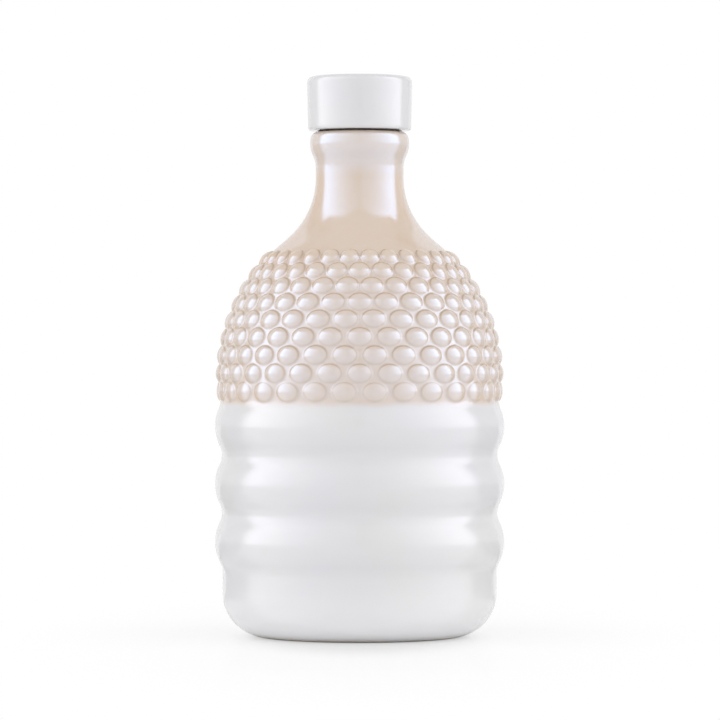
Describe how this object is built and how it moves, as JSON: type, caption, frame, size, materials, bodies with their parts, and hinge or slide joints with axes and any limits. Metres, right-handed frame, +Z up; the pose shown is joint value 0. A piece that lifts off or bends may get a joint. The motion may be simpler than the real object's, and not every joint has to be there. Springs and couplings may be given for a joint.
{
  "type": "bottle",
  "caption": "Glazed ceramic bottle with rounded ribs below, hobnails on the shoulder, a rolled lip and a lift-out ceramic stopper.",
  "frame": {"origin": "centre of the foot ring on the surface that the bottle stands on", "axes": "+Z up along the bottle's axis; the bottle is round, so +X and +Y have no front of their own and a picture from the front looks along +Y"},
  "size_m": [0.1028, 0.1028, 0.1987],
  "materials": {
    "rose_glaze": "pearl lustre glaze on fired ceramic",
    "white_glaze": "pearl lustre glaze on fired ceramic",
    "core_plastic": "moulded, satin",
    "adhesive": "cured clear amber adhesive",
    "seal_silicone": "translucent silicone",
    "washer_rubber": "matte"
  },
  "bodies": {
    "bottle": {"bottle_body": "rose_glaze"},
    "seals": {"seal_ring_upper": "seal_silicone", "seal_ring_middle": "seal_silicone", "seal_ring_lower": "seal_silicone", "lip_washer": "washer_rubber"},
    "stopper": {"cap_shell": "white_glaze", "stopper_core": "core_plastic", "cap_adhesive": "adhesive"}
  },
  "joints": [
    {"name": "stopper_lift", "type": "slide", "parent": "bottle", "child": "seals", "axis": [0, 0, 1], "range_m": [0, 0.024]},
    {"name": "stopper_turn", "type": "hinge", "parent": "seals", "child": "stopper", "pos_m": [0, 0, 0.17], "axis": [0, 0, 1], "continuous": true}
  ]
}
